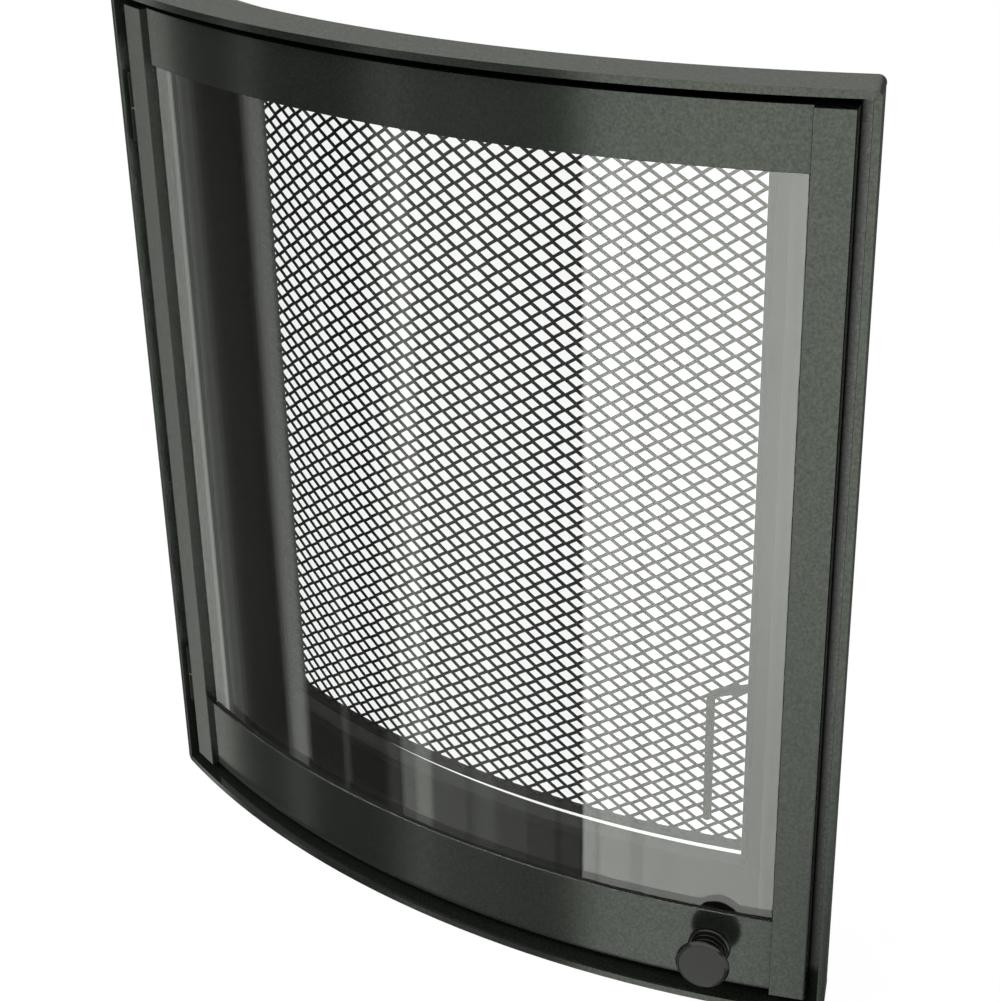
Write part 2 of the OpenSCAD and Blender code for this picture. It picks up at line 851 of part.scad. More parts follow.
surround_top();
surround_bottom();
surround_left();
surround_right();
seal_land_top();
seal_land_bottom();
seal_land_left();
seal_land_right();
throat_top();
throat_bottom();
throat_left();
throat_right();
fascia_top();
fascia_bottom();
fascia_left();
fascia_right();
mount_flange_left();
mount_flange_right();
screen_sill();
screen_pegs();
latch_keeper();
hinge_base_upper();
hinge_base_lower();
hinge_pin_upper();
hinge_pin_lower();
hinge_washers();
rail_top();
rail_bottom();
stile_left();
stile_right();
backing_top();
backing_bottom();
glass();
glass_tape_top();
glass_tape_bottom();
retainer_top();
retainer_bottom();
retainer_left();
retainer_right();
retainer_screws();
rope_top();
rope_bottom();
rope_left();
rope_right();
hinge_knuckle_upper();
hinge_knuckle_lower();
latch_bush();
knob_rose();
knob_head();
knob_neck();
latch_shaft();
latch_sleeve();
latch_cam();
latch_nut();
screen_mesh();
screen_bar_top();
screen_bar_bottom();
screen_sides();
screen_handle();
screen_hangers();
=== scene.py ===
"""Looks of the bowed glass door: paint, glass, spark mesh, knob, rope seal and studio."""

import math

import bmesh
import bpy
from mathutils import Matrix, Vector


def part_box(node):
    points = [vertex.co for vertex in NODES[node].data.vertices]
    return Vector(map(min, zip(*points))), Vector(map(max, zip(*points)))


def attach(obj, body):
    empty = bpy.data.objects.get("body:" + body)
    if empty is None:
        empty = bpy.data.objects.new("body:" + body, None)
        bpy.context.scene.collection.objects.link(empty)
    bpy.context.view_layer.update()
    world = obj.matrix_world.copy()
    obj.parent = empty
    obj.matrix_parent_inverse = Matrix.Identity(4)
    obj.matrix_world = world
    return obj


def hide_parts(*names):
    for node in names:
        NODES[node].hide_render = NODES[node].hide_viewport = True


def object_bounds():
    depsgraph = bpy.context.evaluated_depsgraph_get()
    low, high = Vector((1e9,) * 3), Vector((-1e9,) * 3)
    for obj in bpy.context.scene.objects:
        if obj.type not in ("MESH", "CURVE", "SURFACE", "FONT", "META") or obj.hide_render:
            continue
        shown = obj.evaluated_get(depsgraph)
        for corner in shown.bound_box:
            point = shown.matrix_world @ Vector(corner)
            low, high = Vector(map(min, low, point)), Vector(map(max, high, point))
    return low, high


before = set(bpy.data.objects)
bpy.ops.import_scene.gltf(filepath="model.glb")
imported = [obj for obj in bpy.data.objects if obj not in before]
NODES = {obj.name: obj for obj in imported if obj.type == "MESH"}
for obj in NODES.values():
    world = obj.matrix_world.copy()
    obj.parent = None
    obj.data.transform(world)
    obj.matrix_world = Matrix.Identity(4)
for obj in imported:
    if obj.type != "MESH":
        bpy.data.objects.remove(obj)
cad_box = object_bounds()
SCENE = bpy.context.scene
MM = 0.001


# ---- the bow: angles and depths as the real door has them, from the face of the rails ----

BOW_R = 775 * MM
BOW_Y = BOW_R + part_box("rail_top")[0].y
LEAF_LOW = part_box("rail_bottom")[0].z


def at_bow(angle, off, z):
    """Point at an angle in degrees round the bow and a depth behind the face of the rails."""
    a = math.radians(angle)
    r = BOW_R - off
    return Vector((r * math.sin(a), BOW_Y - r * math.cos(a), z))


def bow_matrix(angle, off, z):
    """Frame on the bow: X across to the right, Y inwards, Z up."""
    return Matrix.Translation(at_bow(angle, off, z)) @ Matrix.Rotation(math.radians(angle), 4, "Z")


def angle_of(x, off):
    """Angle in degrees of a point at that X and depth."""
    return math.degrees(math.asin(x / (BOW_R - off)))


# The rail ends at this angle, in degrees
RAIL_HALF = round(angle_of(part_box("rail_top")[1].x, 0), 3)


# ---- mesh helpers ----

CORNER_SHARE = 0.45             # a rounded corner takes at most this much of the side next to it


def new_piece(name, bm, material, body, replaced=(), smooth=40):
    """Turns a bmesh into a piece that rides on a body; smooth is the sharp-edge angle in degrees."""
    bmesh.ops.recalc_face_normals(bm, faces=bm.faces)
    for face in bm.faces:
        face.smooth = True
    for edge in bm.edges:
        if len(edge.link_faces) == 2 and edge.calc_face_angle() > math.radians(smooth):
            edge.smooth = False
    mesh = bpy.data.meshes.new(name)
    bm.to_mesh(mesh)
    bm.free()
    mesh.materials.append(material)
    obj = bpy.data.objects.new(name, mesh)
    SCENE.collection.objects.link(obj)
    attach(obj, body)
    if replaced:
        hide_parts(*replaced)
    return obj


def loft(bm, rings, closed=False):
    """Skins rings of equally many points, and closes both ends or joins them to each other."""
    made = [[bm.verts.new(p) for p in ring] for ring in rings]
    pairs = list(zip(made, made[1:]))
    if closed:
        pairs.append((made[-1], made[0]))
    for one, two in pairs:
        for i in range(len(one)):
            j = (i + 1) % len(one)
            bm.faces.new((one[i], one[j], two[j], two[i]))
    if not closed:
        bm.faces.new(made[0][::-1])
        bm.faces.new(made[-1])


def rounded(outline, radius, steps=3, closed=True):
    """Outline with each corner turned into an arc-like curve that starts radius before it."""
    count = len(outline)
    points = []
    for i, corner in enumerate(outline):
        if not closed and i in (0, count - 1):
            points.append(corner)
            continue
        corner = Vector(corner)
        before = Vector(outline[i - 1]) - corner
        after = Vector(outline[(i + 1) % count]) - corner
        reach = min(radius, before.length * CORNER_SHARE, after.length * CORNER_SHARE)
        start = corner + before.normalized() * reach
        end = corner + after.normalized() * reach
        for step in range(steps + 1):
            t = step / steps
            points.append(start * (1 - t) ** 2 + corner * 2 * t * (1 - t) + end * t ** 2)
    return points


def lathe(bm, profile, matrix, sides=96):
    """Turns a profile of (radius, height) points, from axis to axis, round Z of the matrix."""
    rings = []
    for radius, height in profile:
        ring = []
        for k in range(sides):
            turn = 2 * math.pi * k / sides
            ring.append(matrix @ Vector((radius * math.cos(turn), radius * math.sin(turn), height)))
        rings.append(ring)
    loft(bm, rings)


def tube(bm, path, radius_at, sides, closed=False):
    """Sweeps a round section along a path; radius_at(i, turn) gives the radius at a point."""
    count = len(path)
    rings = []
    up = None
    for i, point in enumerate(path):
        if closed:
            ahead = path[(i + 1) % count] - path[i - 1]
        else:
            ahead = path[min(i + 1, count - 1)] - path[max(i - 1, 0)]
        ahead.normalize()
        if up is None:
            up = ahead.orthogonal().normalized()
        up = (up - ahead * up.dot(ahead)).normalized()
        side = ahead.cross(up)
        ring = []
        for k in range(sides):
            turn = 2 * math.pi * k / sides
            ring.append(point + (up * math.cos(turn) + side * math.sin(turn)) * radius_at(i, turn))
        rings.append(ring)
    loft(bm, rings, closed=closed)


# ---- node trees ----

USUAL_NOISE = (0.3, 0.7)        # nearly all of a noise lies between these


class NodeTree:
    """Short calls for building a node tree. A value is a number, a colour or another node's output."""

    def __init__(self, tree):
        self.tree = tree

    def node(self, kind, **settings):
        made = self.tree.nodes.new(kind)
        for key, value in settings.items():
            setattr(made, key, value)
        return made

    def put(self, socket, value):
        """Sets a socket to a constant, or links another node's output to it."""
        if isinstance(value, bpy.types.NodeSocket):
            self.tree.links.new(value, socket)
        else:
            socket.default_value = value

    def math(self, operation, *values):
        made = self.node("ShaderNodeMath", operation=operation)
        for i, value in enumerate(values):
            self.put(made.inputs[i], value)
        return made.outputs["Value"]

    def ramp(self, source, start, end, low, high, shape="LINEAR"):
        """Runs from low to high while the source runs from start to end."""
        made = self.node("ShaderNodeMapRange", interpolation_type=shape)
        values = {"From Min": start, "From Max": end, "To Min": low, "To Max": high, "Value": source}
        for name, value in values.items():
            self.put(made.inputs[name], value)
        return made.outputs["Result"]

    def split(self, vector):
        made = self.node("ShaderNodeSeparateXYZ")
        self.put(made.inputs["Vector"], vector)
        return made.outputs

    def mix_colors(self, share, one, two):
        """The first colour where share is 0 and the second where it is 1."""
        made = self.node("ShaderNodeMix", data_type="RGBA")
        for name, value in {"Factor": share, "A": one, "B": two}.items():
            self.put(made.inputs[name], value)
        return made.outputs["Result"]

    def light(self, kind, color, strength):
        """Emission or background shader of that colour."""
        made = self.node(kind)
        made.inputs["Color"].default_value = (*color, 1.0)
        self.put(made.inputs["Strength"], strength)
        return made.outputs[0]

    def mix_shaders(self, share, one, two):
        """The first shader where share is 0 and the second where it is 1."""
        made = self.node("ShaderNodeMixShader")
        for i, value in enumerate((share, one, two)):
            self.put(made.inputs[i], value)
        return made.outputs["Shader"]


class Material(NodeTree):
    """A material with one Principled shader and short calls for its procedural detail."""

    def __init__(self, name, color, roughness, metallic=0.0, specular=0.5):
        self.made = bpy.data.materials.new(name)
        self.made.use_nodes = True
        super().__init__(self.made.node_tree)
        self.shader = self.tree.nodes["Principled BSDF"]
        self.color = color
        self.roughness = roughness
        self.set("Base Color", (*color, 1.0))
        self.set("Roughness", roughness)
        self.set("Metallic", metallic)
        self.set("Specular IOR Level", specular)
        coords = self.node("ShaderNodeTexCoord")
        self.place = coords.outputs["Object"]
        self.facing = coords.outputs["Normal"]
        self.normal = None

    def set(self, socket, value):
        self.put(self.shader.inputs[socket], value)

    def noise(self, size, detail=2.0, rough=0.5, stretch=None):
        """Noise whose features are about size metres across."""
        made = self.node("ShaderNodeTexNoise")
        made.inputs["Scale"].default_value = 1 / size
        made.inputs["Detail"].default_value = detail
        made.inputs["Roughness"].default_value = rough
        source = self.place
        if stretch is not None:
            mapping = self.node("ShaderNodeMapping")
            mapping.inputs["Scale"].default_value = stretch
            self.put(mapping.inputs["Vector"], source)
            source = mapping.outputs["Vector"]
        self.put(made.inputs["Vector"], source)
        return made.outputs["Fac"]

    def spread(self, fac, low, high):
        """Maps a noise from its usual range to low..high."""
        return self.ramp(fac, *USUAL_NOISE, low, high)

    def shade(self, fac, low, high, color=None):
        """Colour that runs from low times to high times the given or the main colour."""
        color = color or self.color
        ends = [(*[c * share for c in color], 1.0) for share in (low, high)]
        return self.mix_colors(self.spread(fac, 0.0, 1.0), *ends)

    def vary_color(self, fac, low, high):
        self.set("Base Color", self.shade(fac, low, high))

    def vary_roughness(self, fac, swing):
        self.set("Roughness", self.spread(fac, self.roughness - swing, self.roughness + swing))

    def bump(self, height, depth):
        """Adds relief of depth metres."""
        made = self.node("ShaderNodeBump")
        made.inputs["Distance"].default_value = depth
        made.inputs["Strength"].default_value = 1.0
        self.put(made.inputs["Height"], height)
        self.normal = made.outputs["Normal"]
        self.set("Normal", self.normal)


# ---- materials ----

PAINT = (0.0115, 0.0138, 0.0112)
PAINT_TINT = (0.86, 1.0, 0.84, 1.0)
PAINT_ROUGHNESS = 0.18
PAINT_COAT_ROUGHNESS = 0.16
# Painted shade for the seal land: black with no gloss from 7.5 mm inside the land's outer edge towards
# the leaf, fading out by 1.5 mm from that edge
PAINTED_SHADE_BLACK = (0.003, 0.003, 0.003, 1.0)
FULL_SHADE_INSET = 7.5 * MM
NO_SHADE_INSET = 1.5 * MM
# Colour and coat of the black paint on its outer and rear faces
OUTER_STOVE_PAINT = (0.026, 0.027, 0.025)
OUTER_COAT = 0.6
REAR_FACING = (0.3, 0.6)        # the rear part of the normal: darkest at the first, lighter at the second
OUT_FACING = (0.06, 0.14)       # the same for how far out, in metres, an outward face lies


def metallic_paint():
    """Satin paint with a fine metallic grain, which shows in the gloss more than in the colour."""
    m = Material("metallic_paint", PAINT, PAINT_ROUGHNESS, specular=0.15)
    m.set("Specular Tint", PAINT_TINT)
    m.vary_color(m.noise(1.6 * MM, detail=3.0, rough=0.6), 0.70, 1.45)
    m.vary_roughness(m.noise(2.2 * MM), 0.02)
    grain = m.noise(2.0 * MM, rough=0.7)
    m.set("Coat Weight", m.ramp(grain, 0.36, 0.64, 0.23, 0.52))
    m.set("Coat Roughness", PAINT_COAT_ROUGHNESS)
    m.bump(m.noise(0.9 * MM), 0.006 * MM)
    return m.made


def land_paint():
    """The same paint on the seal land under painted shade: black and without gloss, except near the
    outer edge of the side lands, where it fades to the paint.
    """
    m = Material("land_paint", (0.0110, 0.0140, 0.0108), PAINT_ROUGHNESS, specular=0.02)
    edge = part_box("seal_land_right")[1].x
    aside = m.math("ABSOLUTE", m.split(m.place)["X"])
    # Painted shade: 0 gives black with no coat towards the leaf, 1 gives the plain paint near the outer
    # edge
    unshaded = m.ramp(aside, edge - FULL_SHADE_INSET, edge - NO_SHADE_INSET, 0.0, 1.0)
    grain = m.spread(m.noise(2.0 * MM, rough=0.7), 0.50, 0.95)
    m.set("Coat Weight", m.math("MULTIPLY", unshaded, grain))
    m.set("Coat Roughness", PAINT_COAT_ROUGHNESS)
    m.set("Base Color", m.mix_colors(unshaded, PAINTED_SHADE_BLACK, (*m.color, 1.0)))
    m.vary_roughness(m.noise(2.2 * MM), 0.02)
    m.bump(m.noise(0.9 * MM), 0.006 * MM)
    return m.made


def black_paint():
    """Stove paint: dull and darkest on faces that point inwards, lighter and coated on the outer and
    rear faces.
    """
    m = Material("black_paint", (0.0075, 0.0078, 0.0072), 0.60, specular=0.06)
    rear = m.ramp(m.split(m.facing)["Y"], *REAR_FACING, 0.0, 1.0)
    flat = m.node("ShaderNodeVectorMath", operation="MULTIPLY")
    m.put(flat.inputs[0], m.place)
    m.put(flat.inputs[1], (1.0, 0.0, 1.0))
    away = m.node("ShaderNodeVectorMath", operation="DOT_PRODUCT")
    m.put(away.inputs[0], flat.outputs["Vector"])
    m.put(away.inputs[1], m.facing)
    outward = m.ramp(away.outputs["Value"], *OUT_FACING, 0.0, 1.0)
    outer = m.math("MAXIMUM", rear, outward)
    mottle = m.noise(6 * MM, detail=4.0)
    shades = [m.shade(mottle, 0.75, 1.3, color) for color in (m.color, OUTER_STOVE_PAINT)]
    m.set("Base Color", m.mix_colors(outer, *shades))
    m.set("Coat Weight", m.ramp(outer, 0.0, 1.0, 0.0, OUTER_COAT))
    m.set("Coat Roughness", 0.38)
    m.vary_roughness(m.noise(14 * MM), 0.06)
    m.bump(m.noise(0.7 * MM), 0.02 * MM)
    return m.made


def ceramic_glass():
    """Clear pane: what is behind it shows unshifted, and the coat gives the reflections of its front."""
    m = Material("ceramic_glass", (0.97, 0.985, 0.975), 0.0)
    m.set("Transmission Weight", 1.0)
    m.set("IOR", 1.0)
    m.set("Coat Weight", 1.0)
    m.set("Coat IOR", 1.5)
    m.set("Coat Roughness", 0.0)
    m.bump(m.noise(90 * MM, detail=0.0), 0.02 * MM)
    m.set("Coat Normal", m.normal)
    return m.made


def glass_edge():
    """Ground edge of the pane."""
    m = Material("glass_edge", (0.30, 0.42, 0.37), 0.45)
    m.vary_color(m.noise(3 * MM, detail=3.0), 0.8, 1.2)
    m.bump(m.noise(0.5 * MM), 0.03 * MM)
    return m.made


def seal_fibre():
    m = Material("seal_fibre", (0.016, 0.016, 0.016), 0.9, specular=0.1)
    m.vary_color(m.noise(1.2 * MM, detail=3.0), 0.5, 1.9)
    m.bump(m.noise(0.25 * MM), 0.06 * MM)
    return m.made


def knob_black():
    m = Material("knob_black", (0.0064, 0.0070, 0.0060), 0.20, specular=0.185)
    m.vary_color(m.noise(5 * MM, detail=3.0), 0.85, 1.2)
    m.vary_roughness(m.noise(3 * MM), 0.03)
    m.bump(m.noise(0.5 * MM), 0.002 * MM)
    return m.made


def screen_black():
    m = Material("screen_black", (0.0035, 0.0035, 0.0035), 0.65, specular=0.04)
    m.vary_color(m.noise(4 * MM, detail=3.0), 0.6, 1.5)
    m.vary_roughness(m.noise(7 * MM), 0.08)
    m.bump(m.noise(0.6 * MM), 0.03 * MM)
    return m.made


def zinc_steel():
    """Plated steel, dulled by heat."""
    m = Material("zinc_steel", (0.19, 0.19, 0.185), 0.42, metallic=1.0)
    m.vary_color(m.noise(5 * MM, detail=4.0), 0.8, 1.1)
    m.vary_roughness(m.noise(2 * MM, detail=3.0), 0.08)
    m.bump(m.noise(0.3 * MM, stretch=(1.0, 1.0, 0.15)), 0.01 * MM)
    return m.made


def bronze():
    m = Material("bronze", (0.17, 0.135, 0.095), 0.45, metallic=1.0)
    m.vary_color(m.noise(3 * MM, detail=4.0), 0.7, 1.1)
    m.vary_roughness(m.noise(2 * MM), 0.08)
    m.bump(m.noise(0.3 * MM), 0.01 * MM)
    return m.made


MATERIALS = {make.__name__: make() for make in (
    metallic_paint, black_paint, ceramic_glass, seal_fibre, knob_black,
    screen_black, zinc_steel, bronze)}
GLASS_EDGE = glass_edge()
LAND_PAINT = land_paint()


# ---- CAD nodes that stay: their finish and softened edges ----

# Width of the rounded edges in mm, by the node's name or its first word
EDGE_WIDTHS = {"rail": 0.25, "stile": 0.35, "stile_right": 0.5, "surround": 0.35,
               "mount": 0.4, "fascia": 0.4, "throat": 0.3, "screen": 0.3, "retainer": 0.2,
               "backing": 0.2, "latch": 0.25, "hinge": 0.3, "seal": 0.12}
SHARP_ANGLE = math.radians(35)


def soften(obj, width):
    """Rounds the sharp edges of a CAD node by modifiers alone."""
    mesh = obj.data
    for name in ("custom_normal", "sharp_edge"):
        if name in mesh.attributes:
            mesh.attributes.remove(mesh.attributes[name])
    for polygon in mesh.polygons:
        polygon.use_smooth = True
    weld = obj.modifiers.new("weld", "WELD")
    weld.merge_threshold = 0.002 * MM
    bevel = obj.modifiers.new("bevel", "BEVEL")
    bevel.width = width
    bevel.segments = 2
    bevel.limit_method = "ANGLE"
    bevel.angle_limit = SHARP_ANGLE
    bevel.use_clamp_overlap = not obj.name.startswith("stile")
    normals = obj.modifiers.new("normals", "WEIGHTED_NORMAL")
    normals.keep_sharp = True


def dress_nodes():
    for name, obj in NODES.items():
        slot = obj.material_slots[0].material.name
        # The seal land takes the paint with painted shade towards the leaf
        finish = LAND_PAINT if name.startswith("seal_land") else MATERIALS[slot]
        obj.material_slots[0].material = finish
        width = EDGE_WIDTHS.get(name, EDGE_WIDTHS.get(name.split("_")[0]))
        if width is not None:
            soften(obj, width * MM)
    NODES["stile_left"].visible_glossy = False


dress_nodes()


# ---- glass ----

GLASS_OFF = 2.5 * MM
GLASS_T = 4 * MM
GLASS_SEAM = 0.5 * MM
GLASS_STEPS = 200
EDGE_FACE_SHARE = 0.2           # a face smaller than this share of a clear one is a ground edge


def make_glass():
    """Curved pane with small chamfers; its edges are ground and its two faces clear."""
    low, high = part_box("glass")
    back = GLASS_OFF + GLASS_T
    half = angle_of(high.x, GLASS_OFF)
    outline = [(GLASS_OFF, low.z), (GLASS_OFF, high.z), (back, high.z), (back, low.z)]
    corners = rounded(outline, GLASS_SEAM, steps=1)
    bm = bmesh.new()
    rings = []
    for i in range(GLASS_STEPS + 1):
        angle = half * (2 * i / GLASS_STEPS - 1)
        rings.append([at_bow(angle, off, z) for off, z in corners])
    loft(bm, rings)
    obj = new_piece("glass_pane", bm, MATERIALS["ceramic_glass"], "leaf", ["glass"])
    obj.data.materials.append(GLASS_EDGE)
    step_width = BOW_R * math.radians(2 * half) / GLASS_STEPS
    smallest_clear = EDGE_FACE_SHARE * (high.z - low.z) * step_width
    for face in obj.data.polygons:
        if face.area < smallest_clear:
            face.material_index = 1
    obj.visible_shadow = False


make_glass()


# ---- spark screen ----

MESH_OFF = 60 * MM              # middle of the screen, behind the face of the rails
MESH_R = BOW_R - MESH_OFF
MESH_T = 1.6 * MM
CELL_W = 16.735 * MM
CELL_H = 11.107 * MM
MESH_U0 = -6.512 * MM           # middle of one opening, across and up
MESH_Z0 = LEAF_LOW + 7.10 * MM
WIDE_OPENING = 0.824            # how much of its cell an opening takes, in every second column
NARROW_OPENING = 0.687
STRAND_EDGE = 0.55              # thickness at the edge of a strand, of that along its middle
SNAP = 1e-7                     # a cut moves points that are nearer than this onto its plane
ON_PLANE = 1e-6                 # points nearer than this to a plane lie on it


def cell_faces(bm, outer, inner):
    """Sloping strand faces round one opening, front and back, and the walls of the opening."""
    for i in range(4):
        j = (i + 1) % 4
        bm.faces.new((outer[i][0], outer[j][0], inner[j][0], inner[i][0]))
        bm.faces.new((inner[i][0], inner[j][0], inner[j][1], inner[i][1]))
        bm.faces.new((inner[i][1], inner[j][1], outer[j][1], outer[i][1]))


def trim(bm, place, outward):
    """Cuts away what lies outwards of a plane and closes the cut."""
    whole = bm.verts[:] + bm.edges[:] + bm.faces[:]
    bmesh.ops.bisect_plane(bm, geom=whole, dist=SNAP, plane_co=place, plane_no=outward,
                           clear_outer=True)
    open_edges = [e for e in bm.edges if len(e.link_faces) == 1]
    rim = [e for e in open_edges
           if all(abs((v.co - Vector(place)).dot(Vector(outward))) < ON_PLANE for v in e.verts)]
    bmesh.ops.holes_fill(bm, edges=rim, sides=0)


def lattice_bmesh(half_width, z1, z2):
    """Flat expanded mesh: X along the bow, Y towards the room, Z up. Opening sizes alternate."""
    bm = bmesh.new()
    step_u = CELL_W / 2
    step_z = CELL_H / 2
    ridge = MESH_T / 2
    edge = ridge * STRAND_EDGE
    crossings = {}

    def crossing(c, k):
        """Front and back point where strands cross."""
        if (c, k) not in crossings:
            u = MESH_U0 + c * step_u
            z = MESH_Z0 + k * step_z
            crossings[(c, k)] = [bm.verts.new((u, side * ridge, z)) for side in (1, -1)]
        return crossings[(c, k)]

    first_c = math.floor((-half_width - MESH_U0) / step_u) - 1
    last_c = math.ceil((half_width - MESH_U0) / step_u) + 1
    first_k = math.floor((z1 - MESH_Z0) / step_z) - 1
    last_k = math.ceil((z2 - MESH_Z0) / step_z) + 1
    around = [(-1, 0), (0, -1), (1, 0), (0, 1)]
    for c in range(first_c, last_c + 1):
        share = WIDE_OPENING if c % 2 == 0 else NARROW_OPENING
        for k in range(first_k, last_k + 1):
            if (c + k) % 2:
                continue
            u = MESH_U0 + c * step_u
            z = MESH_Z0 + k * step_z
            outer = [crossing(c + dc, k + dk) for dc, dk in around]
            inner = []
            for dc, dk in around:
                place = (u + dc * step_u * share, z + dk * step_z * share)
                inner.append([bm.verts.new((place[0], side * edge, place[1])) for side in (1, -1)])
            cell_faces(bm, outer, inner)
    trim(bm, (-half_width, 0, 0), (-1, 0, 0))
    trim(bm, (half_width, 0, 0), (1, 0, 0))
    trim(bm, (0, 0, z1), (0, 0, -1))
    trim(bm, (0, 0, z2), (0, 0, 1))
    return bm


def make_screen_mesh():
    """The flat mesh, rolled to the curve of the screen."""
    low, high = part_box("screen_mesh")
    half_width = MESH_R * math.radians(angle_of(high.x, MESH_OFF - MESH_T / 2))
    bm = lattice_bmesh(half_width, low.z, high.z)
    for vert in bm.verts:
        u, out, z = vert.co
        vert.co = at_bow(math.degrees(u / MESH_R), MESH_OFF - out, z)
    new_piece("spark_mesh", bm, MATERIALS["screen_black"], "screen",
              ["screen_mesh"], smooth=75)


ROD_R = 3 * MM
ROD_SIDES = 32
ROD_BEND_R = 5.5 * MM
ROD_BEND_STEPS = 12
ROD_CHAMFER = 0.6 * MM
ROD_ROOT_OFF = 55.4 * MM
# From its root to the corner of its bend, across and inwards
ROD_REACH = Vector((-22.5 * MM, -14 * MM, 0))


def make_handle():
    """Bent rod: out of the side bar, round a bend and down, with a chamfered end."""
    low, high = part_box("screen_handle")
    bar_angle = angle_of(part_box("screen_mesh")[1].x, MESH_OFF - MESH_T / 2)
    root = bow_matrix(bar_angle, ROD_ROOT_OFF, high.z - ROD_R)
    drop = high.z - low.z - ROD_R
    out = ROD_REACH.normalized()
    path = [Vector((0, 0, 0)), out * (ROD_REACH.length - ROD_BEND_R)]
    for i in range(1, ROD_BEND_STEPS + 1):
        turn = math.pi / 2 * i / ROD_BEND_STEPS
        path.append(ROD_REACH + out * ROD_BEND_R * (math.sin(turn) - 1)
                    + Vector((0, 0, ROD_BEND_R * (math.cos(turn) - 1))))
    end = ROD_REACH - Vector((0, 0, drop))
    path += [end + Vector((0, 0, ROD_CHAMFER)), end]
    last = len(path) - 1
    bm = bmesh.new()
    tube(bm, [root @ p for p in path],
         lambda i, turn: ROD_R - (ROD_CHAMFER if i == last else 0), ROD_SIDES)
    new_piece("handle_rod", bm, MATERIALS["screen_black"], "screen",
              ["screen_handle"])


make_screen_mesh()
make_handle()


# ---- knob ----

KNOB_INSET = 43.5 * MM          # from the end of the rail, round the bow
KNOB_ANGLE = round(RAIL_HALF - math.degrees(KNOB_INSET / BOW_R), 3)
KNOB_Z = LEAF_LOW + 28.5 * MM
KNOB_FRAME = bow_matrix(KNOB_ANGLE, 0, KNOB_Z) @ Matrix.Rotation(math.radians(90), 4, "X")
KNOB_CORNER_STEPS = 4

# Radii and heights in mm, the heights from the face of the rail
AXIS_R = 0.2
SHAFT_R = 4
ROSE_BORE_R = 4.3
ROSE_R = 15
ROSE_T = 3
ROSE_CHAMFER = (1, 0.8)         # across and up
ROSE_GAP = 0.4
NECK_R = 9
NECK_RING_R = (13.2, 12.4, 11.6)
NECK_RING_T = 2.6
NECK_PITCH = 3.8
HEAD_R = 19
HEAD_BACK = 16.5
HEAD_T = 7
HEAD_STEP = 0.35                # the rim of the head lies this much below its face


def turned(name, outline, radius, node, body):
    """Turned part from (radius, height) corners in mm, with every corner rounded."""
    bm = bmesh.new()
    corners = [Vector((r * MM, h * MM)) for r, h in outline]
    profile = rounded(corners, radius * MM, KNOB_CORNER_STEPS, closed=False)
    lathe(bm, profile, KNOB_FRAME)
    new_piece(name, bm, MATERIALS["knob_black"], body, [node], smooth=55)


def make_rose():
    across, up = ROSE_CHAMFER
    outline = [(ROSE_BORE_R, 0), (ROSE_R, 0), (ROSE_R, ROSE_T - up), (ROSE_R - across, ROSE_T),
               (ROSE_BORE_R, ROSE_T)]
    turned("rose", outline, 0.5, "knob_rose", "leaf")


def make_neck():
    """Neck with three rings that get smaller towards the head."""
    start = ROSE_T + ROSE_GAP
    outline = [(SHAFT_R, start)]
    for i, ring_r in enumerate(NECK_RING_R):
        low = start + i * NECK_PITCH
        if i > 0:
            outline.append((NECK_R, low))
        outline += [(ring_r, low), (ring_r, low + NECK_RING_T), (NECK_R, low + NECK_RING_T)]
    outline += [(NECK_R, HEAD_BACK), (SHAFT_R, HEAD_BACK)]
    turned("neck", outline, 0.45, "knob_neck", "latch")


def make_head():
    """Flat head: its back slopes in to the neck, and a narrow rim lies below its face."""
    face = HEAD_BACK + HEAD_T
    rim = face - HEAD_STEP
    outline = [(AXIS_R, HEAD_BACK + 0.01), (NECK_R + 0.5, HEAD_BACK), (HEAD_R - 1.2, HEAD_BACK + 2.0),
               (HEAD_R, HEAD_BACK + 3.6), (HEAD_R, face - 2.2), (HEAD_R - 1.5, rim),
               (HEAD_R - 2.2, rim), (HEAD_R - 2.8, face), (AXIS_R, face)]
    turned("head", outline, 0.6, "knob_head", "latch")


make_rose()
make_neck()
make_head()


# ---- rope seal: one braided loop where the CAD has four round bars ----

ROPE_R = 4 * MM
ROPE_RELIEF = 0.45 * MM
ROPE_CORNER_R = 7 * MM
ROPE_SPACING = 1.1 * MM
ROPE_OFF = 11.05 * MM
ROPE_PAST_RAIL = 14.5 * MM      # from the end of the rail to the middle of the rope
ROPE_STRANDS = 5
ROPE_PITCH = 9 * MM
ROPE_SIDES = 30


def rope_route():
    """Points of the loop, evenly spaced: four straight legs and four quarter turns."""
    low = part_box("rope_bottom")[0].z + ROPE_R
    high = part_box("rope_top")[1].z - ROPE_R
    rope_bow_r = BOW_R - ROPE_OFF
    side_angle = RAIL_HALF + math.degrees(math.atan(ROPE_PAST_RAIL / rope_bow_r))
    half = rope_bow_r * math.radians(side_angle)
    inner = half - ROPE_CORNER_R
    inner_low = low + ROPE_CORNER_R
    inner_high = high - ROPE_CORNER_R
    legs = [((half, inner_low), (half, inner_high)), ((inner, high), (-inner, high)),
            ((-half, inner_high), (-half, inner_low)), ((-inner, low), (inner, low))]
    corners = [(inner, inner_high), (-inner, inner_high), (-inner, inner_low), (inner, inner_low)]
    turns = max(4, round(math.pi / 2 * ROPE_CORNER_R / ROPE_SPACING))
    flat = []
    for i, ((start, end), middle) in enumerate(zip(legs, corners)):
        count = round(math.dist(start, end) / ROPE_SPACING)
        flat += [(start[0] + (end[0] - start[0]) * k / count,
                  start[1] + (end[1] - start[1]) * k / count) for k in range(count)]
        for k in range(turns):
            turn = math.pi / 2 * (i + k / turns)
            flat.append((middle[0] + ROPE_CORNER_R * math.cos(turn),
                         middle[1] + ROPE_CORNER_R * math.sin(turn)))
    return [at_bow(math.degrees(u / rope_bow_r), ROPE_OFF, z) for u, z in flat]


